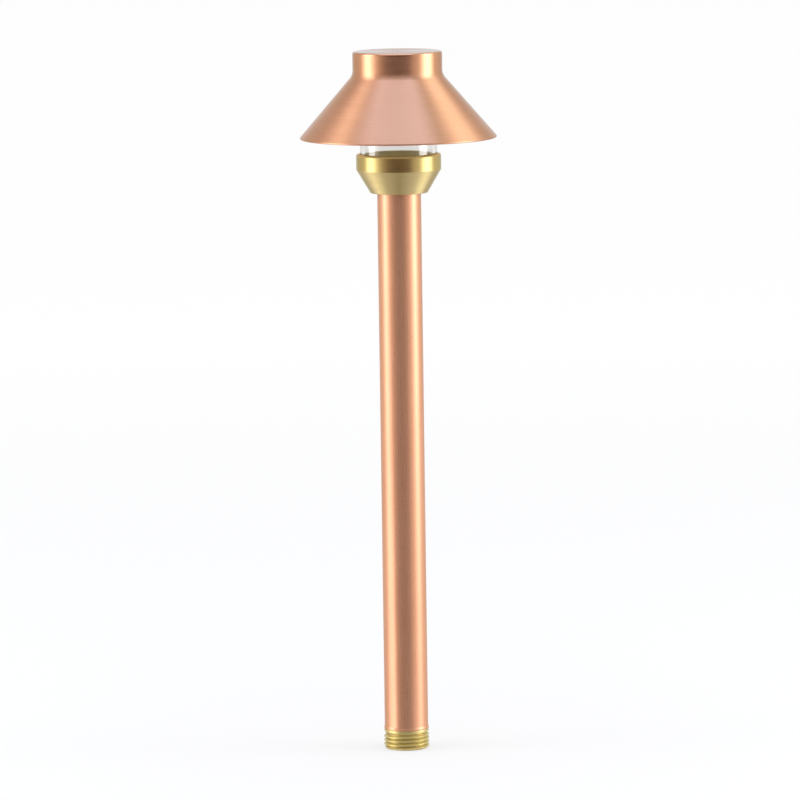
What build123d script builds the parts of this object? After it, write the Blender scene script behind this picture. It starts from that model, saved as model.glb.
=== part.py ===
from build123d import *
import math
import os

os.makedirs("parts", exist_ok=True)

# All sizes are in millimetres. The light stands on its foot thread, with +Z up its stem,
# and the origin is in the middle of the thread's lower end.

# Foot thread, half-inch pipe size with 14 threads to the inch
thread_length = 9.25
thread_radius = 10.55
thread_pitch = 25.4 / 14
thread_depth = 1.1
thread_root_flat = 0.24
thread_flank_angle = 30.0
thread_crest_flat = 0.3
thread_chamfer = 0.9
thread_relief_depth = 1.15
thread_relief_length = 2.85
thread_relief_slope = 0.6
thread_relief_root = 0.3

# Foot bushing above the thread, and its bore for the wires
foot_shoulder_radius = 10.33
foot_shoulder_height = 1.2
foot_insert_length = 14.0
insert_gap = 0.05
wire_bore_radius = 7.5
wire_bore_length = 11.0
wire_bore_chamfer = 0.4
grommet_step = 0.6
grommet_length = 6.0
grommet_gap = 0.05

# Stem
stem_radius = 10.13
stem_wall = 1.0
stem_showing_length = 250.5
foot_flare = 0.25
foot_bead_height = 0.6
foot_flare_height = 0.8
foot_edge_round = 0.25

# Nipple between the stem and the collar
nipple_shoulder = 0.4
nipple_thread_pitch = 25.4 / 18
nipple_thread_depth = 0.7
nipple_insert_length = 12.0
nipple_thread_gap = 0.05
nipple_top_gap = 1.3
nipple_socket_gap = 0.6
stem_seat_depth = 3.0
stem_seat_gap = 0.1
stem_seal_height = 1.0
stem_seal_gap = 0.15

# Collar
collar_wall = 1.6
collar_foot_margin = 3.07
collar_cone_height = 10.8
collar_band_height = 7.25
collar_foot_round = 0.5
collar_lip_round = 0.9
collar_lip_chamfer = 0.3
lens_ledge = 0.75
lamp_well_depth = 2.8

# Glass jar, open end down in the collar
lens_radius = 17.75
lens_wall = 2.0
lens_height = 51.1
lens_top_thickness = 2.5
lens_shoulder_round = 4.0
lens_inner_round = 2.5
lens_rim_round = 0.5
lens_seat_depth = 6.45
lens_side_gap = 0.25
lens_gasket_height = 0.5
lens_gasket_gap = 0.3

# O-rings, one size for the collar and for the shade's sleeve
ring_section_radius = 0.4
ring_glass_gap = 0.05
ring_groove_floor_gap = 0.05
ring_groove_width = 1.0
collar_ring_height = 3.2

# Socket bracket and its screws
bracket_side_gap = 0.4
bracket_width = 18.0
bracket_thickness = 0.8
bracket_hole_gap = 0.1
screw_inset = 2.6
screw_radius = 1.2
screw_length = 4.5
screw_hole_gap = 0.05
screw_hole_spare_depth = 0.5
screw_clearance = 0.2
screw_head_radius = 2.3
screw_head_height = 1.6
screw_head_round = 0.7
screw_slot_width = 0.5
screw_slot_depth = 0.7

# Ceramic socket for a two-pin lamp
socket_radius = 6.0
socket_depth = 9.0
socket_flange_margin = 1.6
socket_flange_height = 1.2
socket_edge_chamfer = 0.3
clip_thickness = 0.7
clip_margin = 1.4
clip_groove_depth = 0.6
clip_gap = 0.05
clip_opening_width = 7.0
pin_spacing = 4.0
pin_hole_gap = 0.25
contact_radius = 0.9
contact_gap = 0.05
contact_tail = 1.0
contact_cover = 0.9
contact_pin_gap = 0.07
contact_bore_depth = 6.5
crimp_gap = 0.05
crimp_bore_depth = 2.6

# Wires down the stem
lead_radius = 0.9
strand_radius = 0.45
strand_crimp_length = 2.3
strand_tail_length = 3.6
strand_foot_gap = 1.4
lead_foot_spacing = 4.4
lead_hole_gap = 0.05
lead_bend_share = 0.45

# Bends of a wire: how far down it, its distance from the middle of the stem, and its sway
lead_bends = [(0.14, 2.0, 0.0), (0.36, 3.6, 0.8), (0.57, 2.1, -0.8), (0.78, 3.4, 0.6)]
lead_foot_bend = 0.9

# Exchangeable disc lamp
lamp_base_radius = 5.5
lamp_base_height = 1.2
lamp_pin_radius = 0.35
lamp_pin_reach = 5.0
lamp_pin_gap = 0.05
lamp_board_radius = 12.0
lamp_board_thickness = 1.2
lamp_board_chamfer = 0.2
led_size = 3.0
led_height = 0.7
led_circle_radius = 8.2
led_circle_count = 8
driver_part_length = 3.2
driver_part_width = 2.6
driver_part_height = 0.9
driver_row_offset = 8.5
driver_part_spacing = 4.4

# Shade, and what holds it on the glass
shade_neck_height = 10.7
shade_brim_radius = 45.5
shade_cone_height = 28.85
shade_wall = 1.0
shade_top_round = 1.0
shade_neck_round = 5.0
shade_edge_round = 0.4
cushion_height = 1.0
cushion_inset = 0.25
sleeve_wall = 1.55
sleeve_length = 13.0
sleeve_gap = 0.05
sleeve_lens_gap = 0.3
sleeve_ring_heights = [3.0, 8.0]
sleeve_edge_chamfer = 0.3

# Levels up the light
relief_bottom = thread_length - thread_relief_length
relief_root_bottom = relief_bottom + thread_relief_slope
stem_bottom = thread_length
collar_bottom = stem_bottom + stem_showing_length
stem_seat = collar_bottom + stem_seat_depth
stem_top = stem_seat - stem_seal_height
collar_top = collar_bottom + collar_cone_height + collar_band_height
lens_seat = collar_top - lens_seat_depth
lens_bottom = lens_seat + lens_gasket_height
lens_top = lens_bottom + lens_height
lens_ceiling = lens_top - lens_top_thickness
well_floor = lens_seat - lamp_well_depth
nipple_top = well_floor - nipple_top_gap
nipple_bottom = stem_top - nipple_insert_length
bracket_top = well_floor + bracket_thickness
clip_bottom = well_floor - clip_gap - clip_thickness
socket_bottom = bracket_top - socket_depth
socket_top = bracket_top + socket_flange_height
contact_bottom = socket_bottom - contact_tail
contact_top = socket_top - contact_cover
board_bottom = socket_top + lamp_base_height
board_top = board_bottom + lamp_board_thickness
foot_insert_top = stem_bottom + foot_insert_length
grommet_bottom = foot_insert_top - grommet_length
strand_bottom = wire_bore_length + strand_foot_gap
lead_bottom = strand_bottom + strand_tail_length
shade_ceiling = lens_top + cushion_height
shade_top = shade_ceiling + shade_wall
shade_corner = shade_top - shade_neck_height
shade_brim = shade_corner - shade_cone_height
sleeve_bottom = shade_ceiling - sleeve_length
sleeve_ring_levels = [sleeve_bottom + height for height in sleeve_ring_heights]

# Radii that follow from what fits inside what
stem_bore_radius = stem_radius - stem_wall
insert_radius = stem_bore_radius - insert_gap
stem_seat_radius = stem_radius + stem_seat_gap
grommet_seat_radius = wire_bore_radius + grommet_step
nipple_thread_radius = insert_radius - nipple_shoulder
nipple_hole_radius = nipple_thread_radius + nipple_thread_gap
nipple_bore_radius = socket_radius + nipple_socket_gap
lens_inner_radius = lens_radius - lens_wall
cup_radius = lens_radius + lens_side_gap
collar_radius = cup_radius + collar_wall
collar_foot_radius = stem_radius + collar_foot_margin
lamp_well_radius = lens_inner_radius - lens_ledge
bracket_radius = lamp_well_radius - bracket_side_gap
clip_groove_radius = socket_radius - clip_groove_depth
clip_radius = socket_radius + clip_margin
contact_bore_radius = lamp_pin_radius + contact_pin_gap
crimp_bore_radius = strand_radius + crimp_gap
ring_radius = lens_radius + ring_glass_gap + ring_section_radius
ring_groove_radius = ring_radius + ring_section_radius + ring_groove_floor_gap
cushion_radius = lens_radius - lens_shoulder_round - cushion_inset
sleeve_bore_radius = lens_radius + sleeve_lens_gap
sleeve_radius = sleeve_bore_radius + sleeve_wall
shade_inner_neck_radius = sleeve_radius + sleeve_gap
shade_neck_radius = shade_inner_neck_radius + shade_wall

pin_places = [(-pin_spacing / 2, 0), (pin_spacing / 2, 0)]
screw_offset = bracket_radius - screw_inset
screw_places = [(-screw_offset, 0), (screw_offset, 0)]
lead_foot_places = [(-lead_foot_spacing / 2, 0), (lead_foot_spacing / 2, 0)]
flank_slope = math.tan(math.radians(thread_flank_angle))


def thread_points(radius, depth, pitch, bottom, top):
    """Outline of a thread's grooves from the bottom up, as pairs of radius and height."""
    mouth = thread_root_flat + 2 * depth * flank_slope
    count = int((top - bottom) / pitch)
    points = []
    for groove in range(count, 0, -1):
        middle = top - thread_crest_flat - mouth / 2 - (groove - 1) * pitch
        points.append((radius, middle - mouth / 2))
        points.append((radius - depth, middle - thread_root_flat / 2))
        points.append((radius - depth, middle + thread_root_flat / 2))
        points.append((radius, middle + mouth / 2))
    return points


def corner_at(profile, radius, level):
    """The corner of a half-section that lies at this radius and height."""
    return profile.vertices().sort_by_distance((radius, level))[0]


# Foot bushing: the thread that screws into a stake or a box, and its insert in the stem
relief_radius = thread_radius - thread_relief_depth
with BuildPart() as lower_bushing:
    with BuildSketch(Plane.XZ):
        with BuildLine():
            outline = [(wire_bore_radius + wire_bore_chamfer, 0), (thread_radius - thread_chamfer, 0)]
            outline.append((thread_radius, thread_chamfer))
            outline += thread_points(
                thread_radius, thread_depth, thread_pitch, thread_chamfer, relief_bottom
            )
            outline.append((thread_radius, relief_bottom))
            outline.append((relief_radius, relief_root_bottom))
            outline.append((relief_radius, relief_root_bottom + thread_relief_root))
            outline.append((foot_shoulder_radius, stem_bottom - foot_shoulder_height))
            outline.append((foot_shoulder_radius, stem_bottom))
            outline.append((insert_radius, stem_bottom))
            outline.append((insert_radius, foot_insert_top))
            outline.append((grommet_seat_radius, foot_insert_top))
            outline.append((grommet_seat_radius, wire_bore_length))
            outline.append((wire_bore_radius, wire_bore_length))
            outline.append((wire_bore_radius, wire_bore_chamfer))
            Polyline(*outline, close=True)
        make_face()
    revolve(axis=Axis.Z)
lower_bushing.part.label = "lower_bushing"
export_step(lower_bushing.part, "parts/lower_bushing.step")

# Stem: a straight tube, its foot end pressed out a little
with BuildPart() as stem_tube:
    with BuildSketch(Plane.XZ) as profile:
        with BuildLine():
            Polyline(
                (stem_bore_radius, stem_bottom),
                (stem_radius + foot_flare, stem_bottom),
                (stem_radius + foot_flare, stem_bottom + foot_bead_height),
                (stem_radius, stem_bottom + foot_bead_height + foot_flare_height),
                (stem_radius, stem_top),
                (stem_bore_radius, stem_top),
                close=True,
            )
        make_face()
        fillet(corner_at(profile, stem_radius + foot_flare, stem_bottom), foot_edge_round)
    revolve(axis=Axis.Z)
stem_tube.part.label = "stem_tube"
export_step(stem_tube.part, "parts/stem_tube.step")

# Nipple: its insert in the stem, and a fine thread up into the collar
with BuildPart() as upper_bushing:
    with BuildSketch(Plane.XZ):
        with BuildLine():
            outline = [(nipple_bore_radius, nipple_bottom), (insert_radius, nipple_bottom)]
            outline.append((insert_radius, stem_top))
            outline.append((nipple_thread_radius, stem_top))
            outline += thread_points(
                nipple_thread_radius, nipple_thread_depth, nipple_thread_pitch, stem_top, nipple_top
            )
            outline.append((nipple_thread_radius, nipple_top))
            outline.append((nipple_bore_radius, nipple_top))
            Polyline(*outline, close=True)
        make_face()
    revolve(axis=Axis.Z)
upper_bushing.part.label = "upper_bushing"
export_step(upper_bushing.part, "parts/upper_bushing.step")

# Washer between the stem's upper end and the collar
with BuildPart() as stem_seal:
    with BuildSketch(Plane.XY.offset(stem_top)):
        Circle(stem_radius)
        Circle(nipple_thread_radius + stem_seal_gap, mode=Mode.SUBTRACT)
    extrude(amount=stem_seal_height)
stem_seal.part.label = "stem_seal"
export_step(stem_seal.part, "parts/stem_seal.step")

# Collar: a cup for the glass, a well for the lamp and a threaded hole for the nipple
with BuildPart() as collar:
    with BuildSketch(Plane.XZ):
        with BuildLine():
            Polyline(
                (stem_seat_radius, collar_bottom),
                (collar_foot_radius, collar_bottom),
                (collar_radius, collar_bottom + collar_cone_height),
                (collar_radius, collar_top),
                (cup_radius, collar_top),
                (cup_radius, lens_seat),
                (lamp_well_radius, lens_seat),
                (lamp_well_radius, well_floor),
                (nipple_hole_radius, well_floor),
                (nipple_hole_radius, stem_seat),
                (stem_seat_radius, stem_seat),
                close=True,
            )
        make_face()
    revolve(axis=Axis.Z)
    foot_edge = collar.edges().filter_by(GeomType.CIRCLE).group_by(Axis.Z)[0].sort_by(SortBy.RADIUS)[-1]
    fillet(foot_edge, collar_foot_round)
    lip_edges = collar.edges().filter_by(GeomType.CIRCLE).group_by(Axis.Z)[-1].sort_by(SortBy.RADIUS)
    fillet(lip_edges[-1], collar_lip_round)
    lip_edges = collar.edges().filter_by(GeomType.CIRCLE).group_by(Axis.Z)[-1].sort_by(SortBy.RADIUS)
    chamfer(lip_edges[0], collar_lip_chamfer)
    with BuildSketch(Plane.XY.offset(lens_seat + collar_ring_height - ring_groove_width / 2)):
        Circle(ring_groove_radius)
        Circle(cup_radius, mode=Mode.SUBTRACT)
    extrude(amount=ring_groove_width, mode=Mode.SUBTRACT)
    with BuildSketch(Plane.XY.offset(well_floor)):
        with Locations(*screw_places):
            Circle(screw_radius + screw_hole_gap)
    extrude(amount=bracket_thickness - screw_length - screw_hole_spare_depth, mode=Mode.SUBTRACT)
collar.part.label = "collar"
export_step(collar.part, "parts/collar.step")

# Flat gasket under the glass rim
with BuildPart() as lens_gasket:
    with BuildSketch(Plane.XY.offset(lens_seat)):
        Circle(lens_radius)
        Circle(lamp_well_radius + lens_gasket_gap, mode=Mode.SUBTRACT)
    extrude(amount=lens_gasket_height)
lens_gasket.part.label = "lens_gasket"
export_step(lens_gasket.part, "parts/lens_gasket.step")

# O-ring in the collar's groove
with BuildPart() as lens_o_ring:
    with BuildSketch(Plane.XZ):
        with Locations((ring_radius, lens_seat + collar_ring_height)):
            Circle(ring_section_radius)
    revolve(axis=Axis.Z)
lens_o_ring.part.label = "lens_o_ring"
export_step(lens_o_ring.part, "parts/lens_o_ring.step")

# Glass jar
with BuildPart() as lens_jar:
    with BuildSketch(Plane.XY.offset(lens_bottom)):
        Circle(lens_radius)
    extrude(amount=lens_height)
    fillet(lens_jar.edges().group_by(Axis.Z)[-1], lens_shoulder_round)
    with BuildSketch(Plane.XY.offset(lens_bottom)):
        Circle(lens_inner_radius)
    extrude(amount=lens_ceiling - lens_bottom, mode=Mode.SUBTRACT)
    ceiling_edge = lens_jar.edges().filter_by_position(Axis.Z, lens_ceiling, lens_ceiling)
    fillet(ceiling_edge, lens_inner_round)
    fillet(lens_jar.edges().filter_by(GeomType.CIRCLE).group_by(Axis.Z)[0], lens_rim_round)
lens_jar.part.label = "lens_jar"
export_step(lens_jar.part, "parts/lens_jar.step")

# Bracket: a strap across the lamp well
with BuildPart() as socket_bracket:
    with BuildSketch(Plane.XY.offset(well_floor)):
        Circle(bracket_radius)
        Rectangle(2 * bracket_radius, bracket_width, mode=Mode.INTERSECT)
        Circle(socket_radius + bracket_hole_gap, mode=Mode.SUBTRACT)
        with Locations(*screw_places):
            Circle(screw_radius + screw_clearance, mode=Mode.SUBTRACT)
    extrude(amount=bracket_thickness)
socket_bracket.part.label = "socket_bracket"
export_step(socket_bracket.part, "parts/socket_bracket.step")

# Two pan-head screws that hold the bracket
with BuildPart() as bracket_screws:
    with BuildSketch(Plane.XY.offset(bracket_top)):
        with Locations(*screw_places):
            Circle(screw_head_radius)
    extrude(amount=screw_head_height)
    fillet(bracket_screws.edges().group_by(Axis.Z)[-1], screw_head_round)
    with BuildSketch(Plane.XY.offset(bracket_top)):
        with Locations(*screw_places):
            Circle(screw_radius)
    extrude(amount=-screw_length)
    with BuildSketch(Plane.XY.offset(bracket_top + screw_head_height)):
        with Locations(*screw_places):
            Rectangle(screw_slot_width, 2 * screw_head_radius)
    extrude(amount=-screw_slot_depth, mode=Mode.SUBTRACT)
bracket_screws.part.label = "bracket_screws"
export_step(bracket_screws.part, "parts/bracket_screws.step")

# Ceramic socket, hung in the bracket by its flange
with BuildPart() as socket_body:
    with BuildSketch(Plane.XY.offset(socket_bottom)):
        Circle(socket_radius)
    extrude(amount=socket_depth)
    with BuildSketch(Plane.XY.offset(bracket_top)):
        Circle(socket_radius + socket_flange_margin)
    extrude(amount=socket_flange_height)
    outer_rims = socket_body.edges().group_by(Axis.Z)
    chamfer(outer_rims[0] + outer_rims[-1], socket_edge_chamfer)
    with BuildSketch(Plane.XY.offset(clip_bottom - clip_gap)):
        Circle(socket_radius + clip_gap)
        Circle(clip_groove_radius, mode=Mode.SUBTRACT)
    extrude(amount=clip_thickness + 2 * clip_gap, mode=Mode.SUBTRACT)
    with BuildSketch(Plane.XY.offset(socket_bottom)):
        with Locations(*pin_places):
            Circle(contact_radius + contact_gap)
    extrude(amount=contact_top - socket_bottom, mode=Mode.SUBTRACT)
    with BuildSketch(Plane.XY.offset(contact_top)):
        with Locations(*pin_places):
            Circle(lamp_pin_radius + pin_hole_gap)
    extrude(amount=contact_cover, mode=Mode.SUBTRACT)
socket_body.part.label = "socket_body"
export_step(socket_body.part, "parts/socket_body.step")

# Open ring that snaps into the socket's groove under the bracket
with BuildPart() as socket_clip:
    with BuildSketch(Plane.XY.offset(clip_bottom)):
        Circle(clip_radius)
        Circle(clip_groove_radius + clip_gap, mode=Mode.SUBTRACT)
        with Locations((0, clip_radius)):
            Rectangle(clip_opening_width, 2 * clip_radius, mode=Mode.SUBTRACT)
    extrude(amount=clip_thickness)
socket_clip.part.label = "socket_clip"
export_step(socket_clip.part, "parts/socket_clip.step")

# Two sleeve contacts, open above for the lamp's pins and below for the wires
with BuildPart() as socket_contacts:
    with BuildSketch(Plane.XY.offset(contact_bottom)):
        with Locations(*pin_places):
            Circle(contact_radius)
    extrude(amount=contact_top - contact_bottom)
    with BuildSketch(Plane.XY.offset(contact_top)):
        with Locations(*pin_places):
            Circle(contact_bore_radius)
    extrude(amount=-contact_bore_depth, mode=Mode.SUBTRACT)
    with BuildSketch(Plane.XY.offset(contact_bottom)):
        with Locations(*pin_places):
            Circle(crimp_bore_radius)
    extrude(amount=crimp_bore_depth, mode=Mode.SUBTRACT)
socket_contacts.part.label = "socket_contacts"
export_step(socket_contacts.part, "parts/socket_contacts.step")


def lead_route(side):
    """Points of one wire from its contact down to the foot; side is 1 or -1."""
    drop = contact_bottom - lead_bottom
    points = [(side * pin_spacing / 2, 0, contact_bottom)]
    points += [(side * offset, sway, contact_bottom - share * drop) for share, offset, sway in lead_bends]
    points.append((side * lead_foot_spacing / 2, 0, contact_bottom - lead_foot_bend * drop))
    points.append((side * lead_foot_spacing / 2, 0, lead_bottom))
    return points


def bend_radii(points):
    """Largest radius that fits at each corner of a route, from its shorter run and its turn."""
    radii = []
    for before, here, after in zip(points, points[1:], points[2:]):
        run_in = Vector(*here) - Vector(*before)
        run_out = Vector(*after) - Vector(*here)
        half_turn = math.radians(run_in.get_angle(run_out)) / 2
        radii.append(lead_bend_share * min(run_in.length, run_out.length) / math.tan(half_turn))
    return radii


# Insulated wires, which hang from the socket inside the stem and end just above the foot's bore
for name, side in (("lead_supply", 1), ("lead_return", -1)):
    route = lead_route(side)
    radii = bend_radii(route)
    print(name, "bend radii", [round(radius) for radius in radii])
    with BuildPart() as lead:
        with BuildLine() as lead_path:
            FilletPolyline(*route, radius=radii)
        with BuildSketch(Plane.XY.offset(contact_bottom)):
            with Locations((side * pin_spacing / 2, 0)):
                Circle(lead_radius)
        sweep(path=lead_path.wires()[0])
    expected = math.pi * lead_radius ** 2 * lead_path.wires()[0].length
    print(name, "volume", round(lead.part.volume, 1), "section times length", round(expected, 1))
    lead.part.label = name
    export_step(lead.part, f"parts/{name}.step")

# Stripped wire ends, in the contacts above and free below
with BuildPart() as lead_strands:
    with BuildSketch(Plane.XY.offset(contact_bottom)):
        with Locations(*pin_places):
            Circle(strand_radius)
    extrude(amount=strand_crimp_length)
    with BuildSketch(Plane.XY.offset(lead_bottom)):
        with Locations(*lead_foot_places):
            Circle(strand_radius)
    extrude(amount=-strand_tail_length)
lead_strands.part.label = "lead_strands"
export_step(lead_strands.part, "parts/lead_strands.step")

# Plug in the foot bushing that holds the wires
with BuildPart() as lead_grommet:
    with BuildSketch(Plane.XY.offset(grommet_bottom)):
        Circle(grommet_seat_radius - grommet_gap)
        with Locations(*lead_foot_places):
            Circle(lead_radius + lead_hole_gap, mode=Mode.SUBTRACT)
    extrude(amount=grommet_length)
lead_grommet.part.label = "lead_grommet"
export_step(lead_grommet.part, "parts/lead_grommet.step")

# Lamp: base, pins, board, light sources and the parts under the board
with BuildPart() as lamp_base:
    with BuildSketch(Plane.XY.offset(socket_top)):
        Circle(lamp_base_radius)
        with Locations(*pin_places):
            Circle(lamp_pin_radius + lamp_pin_gap, mode=Mode.SUBTRACT)
    extrude(amount=lamp_base_height)
lamp_base.part.label = "lamp_base"
export_step(lamp_base.part, "parts/lamp_base.step")

with BuildPart() as lamp_pins:
    with BuildSketch(Plane.XY.offset(board_bottom)):
        with Locations(*pin_places):
            Circle(lamp_pin_radius)
    extrude(amount=contact_top - lamp_pin_reach - board_bottom)
    chamfer(lamp_pins.edges().group_by(Axis.Z)[0], lamp_pin_radius / 2)
lamp_pins.part.label = "lamp_pins"
export_step(lamp_pins.part, "parts/lamp_pins.step")

with BuildPart() as lamp_board:
    with BuildSketch(Plane.XY.offset(board_bottom)):
        Circle(lamp_board_radius)
    extrude(amount=lamp_board_thickness)
    chamfer(lamp_board.edges().group_by(Axis.Z)[-1], lamp_board_chamfer)
lamp_board.part.label = "lamp_board"
export_step(lamp_board.part, "parts/lamp_board.step")

with BuildPart() as lamp_leds:
    with BuildSketch(Plane.XY.offset(board_top)):
        Rectangle(led_size, led_size)
        with PolarLocations(led_circle_radius, led_circle_count):
            Rectangle(led_size, led_size)
    extrude(amount=led_height)
lamp_leds.part.label = "lamp_leds"
export_step(lamp_leds.part, "parts/lamp_leds.step")

with BuildPart() as lamp_driver_parts:
    with BuildSketch(Plane.XY.offset(board_bottom)):
        with GridLocations(driver_part_spacing, 2 * driver_row_offset, 2, 2):
            Rectangle(driver_part_length, driver_part_width)
    extrude(amount=-driver_part_height)
lamp_driver_parts.part.label = "lamp_driver_parts"
export_step(lamp_driver_parts.part, "parts/lamp_driver_parts.step")

# Shade: one spun shell with a flat top, a straight neck and a cone with a square-cut brim
cone_run = shade_brim_radius - shade_neck_radius
cone_length = math.hypot(cone_run, shade_cone_height)
edge_radius = shade_brim_radius - shade_wall * shade_cone_height / cone_length
edge_level = shade_brim - shade_wall * cone_run / cone_length
inner_corner = edge_level + (edge_radius - shade_inner_neck_radius) * shade_cone_height / cone_run
with BuildPart() as shade:
    with BuildSketch(Plane.XZ) as profile:
        with BuildLine():
            Polyline(
                (0, shade_top),
                (shade_neck_radius, shade_top),
                (shade_neck_radius, shade_corner),
                (shade_brim_radius, shade_brim),
                (edge_radius, edge_level),
                (shade_inner_neck_radius, inner_corner),
                (shade_inner_neck_radius, shade_ceiling),
                (0, shade_ceiling),
                close=True,
            )
        make_face()
        for radius, level, rounding in (
            (shade_neck_radius, shade_top, shade_top_round),
            (shade_neck_radius, shade_corner, shade_neck_round),
            (shade_inner_neck_radius, inner_corner, shade_neck_round + shade_wall),
            (shade_brim_radius, shade_brim, shade_edge_round),
            (edge_radius, edge_level, shade_edge_round),
        ):
            fillet(corner_at(profile, radius, level), rounding)
    revolve(axis=Axis.Z)
shade.part.label = "shade"
export_step(shade.part, "parts/shade.step")

# Sleeve in the shade's neck, with two grooves for its O-rings
with BuildPart() as shade_sleeve:
    with BuildSketch(Plane.XY.offset(sleeve_bottom)):
        Circle(sleeve_radius)
        Circle(sleeve_bore_radius, mode=Mode.SUBTRACT)
    extrude(amount=sleeve_length)
    chamfer(shade_sleeve.edges().group_by(Axis.Z)[0], sleeve_edge_chamfer)
    for level in sleeve_ring_levels:
        with BuildSketch(Plane.XY.offset(level - ring_groove_width / 2)):
            Circle(ring_groove_radius)
            Circle(sleeve_bore_radius, mode=Mode.SUBTRACT)
        extrude(amount=ring_groove_width, mode=Mode.SUBTRACT)
shade_sleeve.part.label = "shade_sleeve"
export_step(shade_sleeve.part, "parts/shade_sleeve.step")

with BuildPart() as shade_o_rings:
    with BuildSketch(Plane.XZ):
        with Locations(*[(ring_radius, level) for level in sleeve_ring_levels]):
            Circle(ring_section_radius)
    revolve(axis=Axis.Z)
shade_o_rings.part.label = "shade_o_rings"
export_step(shade_o_rings.part, "parts/shade_o_rings.step")

# Soft disc between the glass and the shade's top
with BuildPart() as shade_cushion:
    with BuildSketch(Plane.XY.offset(lens_top)):
        Circle(cushion_radius)
    extrude(amount=cushion_height)
shade_cushion.part.label = "shade_cushion"
export_step(shade_cushion.part, "parts/shade_cushion.step")
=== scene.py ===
"""Dressing of a copper and brass area light around its construction model.

The light stands upright on its foot thread. All lengths are metres, +Z is up the stem, the stem's
axis is the Z axis, and the camera looks along +Y.
"""

import logging
import math
from collections.abc import Sequence
from dataclasses import dataclass, field
from enum import Enum

import bmesh
import bpy
from mathutils import Matrix, Vector


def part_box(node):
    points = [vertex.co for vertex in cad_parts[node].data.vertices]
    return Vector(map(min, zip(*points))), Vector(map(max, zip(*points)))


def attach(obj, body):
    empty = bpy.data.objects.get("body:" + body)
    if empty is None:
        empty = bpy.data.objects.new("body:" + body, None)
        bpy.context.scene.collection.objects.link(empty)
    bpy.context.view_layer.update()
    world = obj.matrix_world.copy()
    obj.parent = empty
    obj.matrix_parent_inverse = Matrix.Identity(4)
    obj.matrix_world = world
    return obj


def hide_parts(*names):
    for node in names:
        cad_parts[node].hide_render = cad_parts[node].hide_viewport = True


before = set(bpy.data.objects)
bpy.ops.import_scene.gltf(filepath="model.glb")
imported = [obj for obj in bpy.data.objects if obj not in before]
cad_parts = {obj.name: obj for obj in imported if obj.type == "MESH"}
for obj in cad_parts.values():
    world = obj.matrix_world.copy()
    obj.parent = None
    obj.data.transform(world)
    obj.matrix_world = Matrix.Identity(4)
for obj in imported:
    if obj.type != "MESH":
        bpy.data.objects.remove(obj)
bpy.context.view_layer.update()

MM = 0.001
TURNING_STEPS = 192
JOIN_DISTANCE = 0.0005 * MM
SMOOTH_ANGLE = math.radians(28)
FACE_WEIGHT = 80

Colour = tuple[float, float, float]
Stops = Sequence[tuple[float, Colour]]
log = logging.getLogger("area_light")


class Body(Enum):
    """Bodies of the construction model that the pieces ride on."""

    BASE = "base"
    LAMP = "lamp"
    LENS = "lens"
    SHADE = "shade"


class Slot(Enum):
    """Material slots that the new pieces take their finish from."""

    COPPER = "copper"
    BRASS = "turned_brass"
    GLASS = "clear_glass"


@dataclass(frozen=True)
class Corner:
    """One corner of a half-section: its distance from the axis, its height and its rounding."""

    radius: float
    height: float
    rounding: float = 0.0
    segments: int = 6

    def place(self) -> Vector:
        """Return the corner's point in the plane of the half-section."""
        return Vector((self.radius, 0.0, self.height))


class Lathe:
    """Draws a half-section with mesh tools and turns it into a closed piece."""

    def __init__(self, name: str, corners: Sequence[Corner], closed: bool) -> None:
        """Keep what the section needs.

        Args:
            name: Name of the new piece.
            corners: Corners of the half-section, in order.
            closed: True for a ring-like section, False for one that starts and ends on the axis.
        """
        self.name = name
        self.corners = list(corners)
        self.closed = closed

    def draw(self) -> bpy.types.Object:
        """Draw the half-section and stay in edit mode.

        Returns:
            The new object, whose mesh is the outline alone.
        """
        first = self.corners[0]
        bpy.ops.object.select_all(action="DESELECT")
        bpy.ops.mesh.primitive_plane_add(size=MM, location=first.place())
        piece = bpy.context.object
        piece.name = piece.data.name = self.name
        bpy.ops.object.transform_apply(location=True, rotation=True, scale=True)
        bpy.ops.object.mode_set(mode="EDIT")
        bpy.ops.mesh.select_all(action="SELECT")
        bpy.ops.mesh.merge(type="CENTER")
        route = self.corners + ([first] if self.closed else [])
        for here, after in zip(route, route[1:]):
            step = after.place() - here.place()
            bpy.ops.mesh.extrude_vertices_move(TRANSFORM_OT_translate={"value": step})
        bpy.ops.mesh.select_all(action="SELECT")
        bpy.ops.mesh.remove_doubles(threshold=JOIN_DISTANCE)
        self.round_corners(piece)
        return piece

    def round_corners(self, piece: bpy.types.Object) -> None:
        """Round each corner that has a rounding.

        Args:
            piece: The outline, in edit mode.
        """
        count = len(self.corners)
        for index, corner in enumerate(self.corners):
            if corner.rounding == 0:
                continue
            before = self.corners[index - 1].place() - corner.place()
            after = self.corners[(index + 1) % count].place() - corner.place()
            half_turn = (math.pi - before.angle(after)) / 2
            select_vertex(piece, corner.place())
            bpy.ops.mesh.bevel(
                offset=corner.rounding * math.tan(half_turn),
                segments=corner.segments,
                affect="VERTICES",
            )

    def turn(self) -> bpy.types.Object:
        """Draw the section, turn it all the way round and smooth it.

        Returns:
            The finished mesh object, in object mode.
        """
        piece = self.draw()
        bpy.ops.mesh.select_all(action="SELECT")
        bpy.ops.mesh.spin(steps=TURNING_STEPS, angle=math.tau, center=(0, 0, 0), axis=(0, 0, 1))
        close_mesh()
        bpy.ops.object.mode_set(mode="OBJECT")
        smooth(piece)
        return piece


def select_vertex(piece: bpy.types.Object, place: Vector) -> None:
    """Select the one vertex nearest to a place.

    Args:
        piece: Mesh object in edit mode.
        place: Where the vertex lies.
    """
    bpy.ops.mesh.select_all(action="DESELECT")
    bpy.ops.mesh.select_mode(type="VERT")
    mesh = bmesh.from_edit_mesh(piece.data)
    nearest = min(mesh.verts, key=lambda vertex: (vertex.co - place).length)
    nearest.select_set(True)
    mesh.select_flush_mode()
    bmesh.update_edit_mesh(piece.data)


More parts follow.
